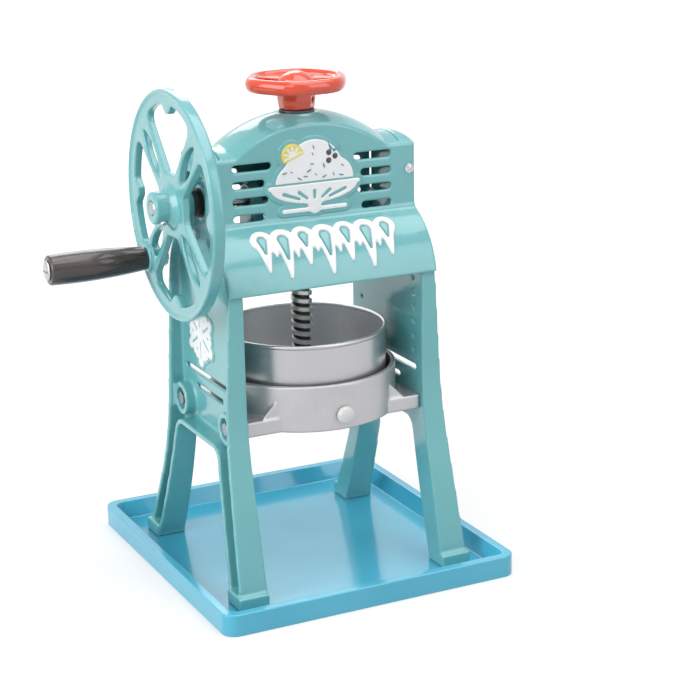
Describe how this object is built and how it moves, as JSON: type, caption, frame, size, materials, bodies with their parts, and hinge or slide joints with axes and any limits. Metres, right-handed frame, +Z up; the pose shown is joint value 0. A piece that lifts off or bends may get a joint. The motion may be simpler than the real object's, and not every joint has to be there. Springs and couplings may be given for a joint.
{
  "type": "hand cranked block ice shaver",
  "caption": "Cast two-sided ice shaver: spoked crank wheel, bevel drive, feed screw with top handwheel, ice drum over a blade, on a plastic drip tray.",
  "frame": {"origin": "underside of the drip tray, straight below the feed screw's axis", "axes": "+Z up along the feed screw, -Y to the front with the raised emblem, -X to the side with the crank wheel"},
  "size_m": [0.2829, 0.239, 0.351],
  "materials": {
    "tray_plastic": "gloss sky-blue moulded plastic",
    "teal_enamel": "gloss pale teal enamel on castings",
    "white_enamel": "white enamel on raised reliefs",
    "cast_aluminium": "sand-cast aluminium, machined edges",
    "spun_aluminium": "satin spun aluminium",
    "blade_steel": "ground steel",
    "zinc_steel": "bright zinc plate",
    "dark_steel": "dark oiled steel",
    "bronze": "plain bronze",
    "red_enamel": "gloss orange-red enamel",
    "dark_wood": "dark lacquered wood",
    "knob_plastic": "white gloss plastic"
  },
  "bodies": {
    "tray": {"drip_tray": "tray_plastic"},
    "machine": {"side_frame_left": "teal_enamel", "side_frame_right": "teal_enamel", "front_cover": "teal_enamel", "cover_screws": "zinc_steel", "front_emblem": "white_enamel", "front_snow_drift": "white_enamel", "side_crystal": "white_enamel", "blade_ring": "cast_aluminium", "ice_drum": "spun_aluminium", "blade": "blade_steel", "blade_clamp": "zinc_steel", "blade_screws": "zinc_steel", "flange_bolts": "zinc_steel", "gear_bridge": "teal_enamel", "bridge_bolts": "zinc_steel", "gear_bush": "bronze", "thrust_washer": "bronze", "crank_bush_outer": "bronze", "crank_bush_inner": "bronze"},
    "blade_knob": {"clamp_knob": "knob_plastic", "clamp_knob_stud": "zinc_steel"},
    "crank": {"crank_wheel": "teal_enamel", "hub_set_screw": "zinc_steel", "crank_shaft": "zinc_steel", "shaft_spacer": "dark_steel", "bevel_pinion": "dark_steel", "pinion_pin": "zinc_steel", "handle_bolt": "zinc_steel", "handle_nut": "zinc_steel"},
    "grip": {"handle_grip": "dark_wood"},
    "drive_gear": {"bevel_gear": "dark_steel", "gear_retainer": "dark_steel"},
    "screw_carrier": {"stop_washer": "dark_steel"},
    "spindle": {"feed_screw": "dark_steel", "hand_wheel": "red_enamel", "hand_wheel_set_screw": "dark_steel", "press_plate": "cast_aluminium", "press_spikes": "blade_steel", "press_plate_nut": "zinc_steel"}
  },
  "joints": [
    {"name": "machine_lift", "type": "slide", "parent": "tray", "child": "machine", "axis": [0, 0, 1], "range_m": [0, 0.045]},
    {"name": "crank_spin", "type": "hinge", "parent": "machine", "child": "crank", "pos_m": [-0.07, 0, 0.2676], "axis": [1, 0, 0], "continuous": true},
    {"name": "handle_spin", "type": "hinge", "parent": "crank", "child": "grip", "pos_m": [-0.134, 0.04272, 0.22336], "axis": [1, 0, 0], "continuous": true},
    {"name": "gear_spin", "type": "hinge", "parent": "machine", "child": "drive_gear", "pos_m": [0, 0, 0.2489], "axis": [0, 0, 1], "continuous": true},
    {"name": "screw_feed", "type": "slide", "parent": "drive_gear", "child": "screw_carrier", "axis": [0, 0, 1], "range_m": [0, 0.075]},
    {"name": "handwheel_turn", "type": "hinge", "parent": "screw_carrier", "child": "spindle", "pos_m": [0, 0, 0.3], "axis": [0, 0, 1], "range_deg": [0, 4500.5]},
    {"name": "blade_knob_turn", "type": "hinge", "parent": "machine", "child": "blade_knob", "pos_m": [0, -0.066, 0.1243], "axis": [0, 1, 0], "range_deg": [0, 360]}
  ],
  "couplings": [
    {"joint": "gear_spin", "follows": "crank_spin", "ratio": -0.8},
    {"joint": "handwheel_turn", "follows": "screw_feed", "rad_per_m": 1047.2}
  ]
}
